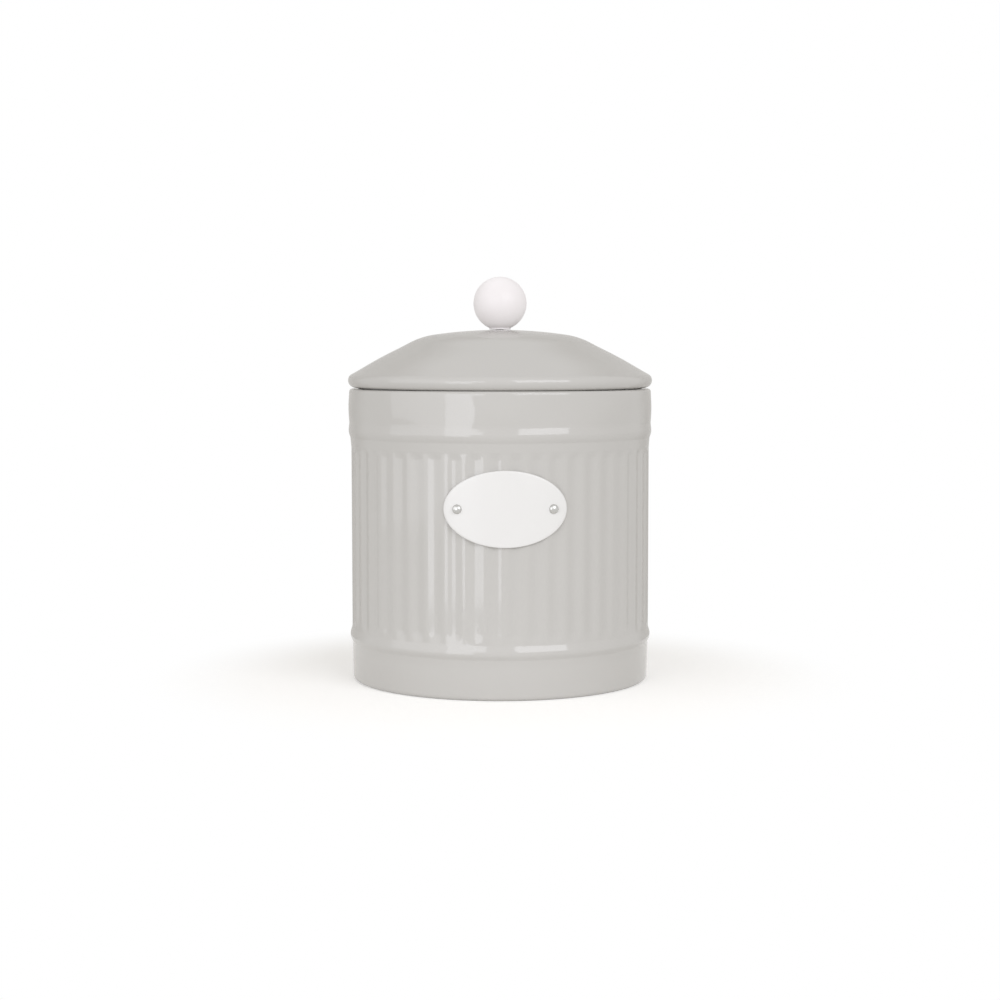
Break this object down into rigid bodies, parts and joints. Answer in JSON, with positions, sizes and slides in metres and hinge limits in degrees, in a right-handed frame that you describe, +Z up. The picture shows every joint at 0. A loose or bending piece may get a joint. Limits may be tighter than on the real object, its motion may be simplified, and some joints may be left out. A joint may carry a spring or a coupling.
{
  "type": "storage tin",
  "caption": "Round fluted steel storage tin with a rolled collar, a riveted blank oval plate and a domed push-in lid lifted by a ball knob.",
  "frame": {"origin": "centre of the ring that the tin stands on, on the surface below it", "axes": "+Z up along the tin's axis towards the knob, -Y towards the front with the oval plate, +X to the right seen from the front"},
  "size_m": [0.143, 0.143, 0.1888],
  "materials": {
    "grey_coat": "glossy pale warm grey enamel on sheet steel",
    "white_enamel": "glossy white enamel on steel",
    "bright_steel": "bright nickel-plated steel",
    "zinc_steel": "zinc-plated steel",
    "brass": "turned brass",
    "white_lacquer": "satin white lacquer on a turned wooden ball",
    "dark_silicone": "matt dark grey silicone"
  },
  "bodies": {
    "tin": {"body_wall": "grey_coat", "base_plate": "grey_coat", "oval_plate": "white_enamel", "plate_rivet_left": "bright_steel", "plate_rivet_right": "bright_steel"},
    "seal": {"lid_seal": "dark_silicone"},
    "lid": {"lid_shell": "grey_coat", "lid_plug": "grey_coat", "knob_ball": "white_lacquer", "knob_insert": "brass", "knob_screw": "zinc_steel", "knob_washer": "zinc_steel"}
  },
  "joints": [
    {"name": "lid_lift", "type": "slide", "parent": "tin", "child": "seal", "axis": [0, 0, 1], "range_m": [0, 0.15]},
    {"name": "lid_turn", "type": "hinge", "parent": "seal", "child": "lid", "pos_m": [0, 0, 0.1376], "axis": [0, 0, 1], "continuous": true}
  ]
}
